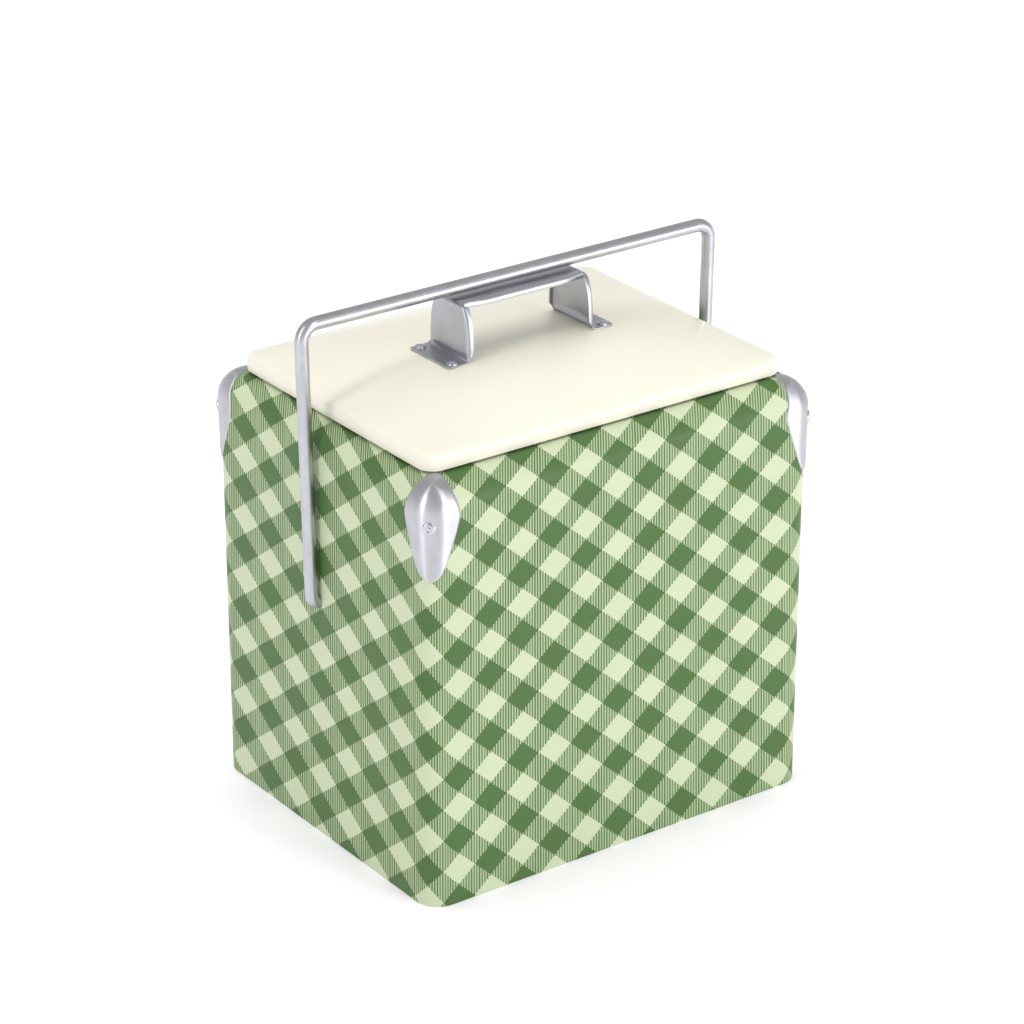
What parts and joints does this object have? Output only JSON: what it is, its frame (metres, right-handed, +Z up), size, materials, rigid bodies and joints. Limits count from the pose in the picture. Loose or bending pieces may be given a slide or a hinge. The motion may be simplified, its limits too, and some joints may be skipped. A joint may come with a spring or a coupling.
{
  "type": "insulated metal cooler chest",
  "caption": "Upright insulated steel picnic cooler chest with a checked shell, teardrop corner caps, a lift-off crowned lid with a strap handle, and a swinging bail handle over it.",
  "frame": {"origin": "centre of the base's underside, on the surface the chest stands on", "axes": "+Z up; +X along the long side, to the right seen from the front; the front long face is at -Y; the bail turns about a line along X"},
  "size_m": [0.3408, 0.258, 0.3769],
  "materials": {
    "printed_shell": "gloss",
    "lid_enamel": "gloss",
    "base_steel": "satin",
    "foam": "matte",
    "liner_plastic": "satin",
    "cap_metal": "satin",
    "rivet_metal": "satin",
    "bail_metal": "satin",
    "strap_metal": "satin",
    "bush_nylon": "satin",
    "retainer_steel": "satin",
    "gasket_rubber": "matte"
  },
  "bodies": {
    "chest": {"outer_shell": "printed_shell", "base_pan": "base_steel", "insulation_front": "foam", "insulation_back": "foam", "insulation_left": "foam", "insulation_right": "foam", "insulation_bottom": "foam", "inner_liner": "liner_plastic", "corner_cap_front_left": "cap_metal", "corner_cap_front_right": "cap_metal", "corner_cap_back_left": "cap_metal", "corner_cap_back_right": "cap_metal", "corner_cap_rivets": "rivet_metal", "pivot_bush_left": "bush_nylon", "pivot_bush_right": "bush_nylon"},
    "lid": {"lid_skin": "lid_enamel", "lid_insulation": "foam", "lid_liner": "liner_plastic", "lid_gasket": "gasket_rubber", "strap_handle": "strap_metal", "handle_rivets": "rivet_metal", "handle_rivet_washers": "rivet_metal"},
    "bail": {"bail": "bail_metal", "bail_retainer_left": "retainer_steel", "bail_retainer_right": "retainer_steel"}
  },
  "joints": [
    {"name": "lid_lift", "type": "slide", "parent": "chest", "child": "lid", "axis": [0, 0, 1], "range_m": [0, 0.032]},
    {"name": "bail_swing", "type": "hinge", "parent": "chest", "child": "bail", "pos_m": [0, 0, 0.176], "axis": [-1, 0, 0], "range_deg": [0, 135]}
  ],
  "couplings": [
    {"joint": "bail_swing", "follows": "lid_lift", "rad_per_m": 73}
  ]
}
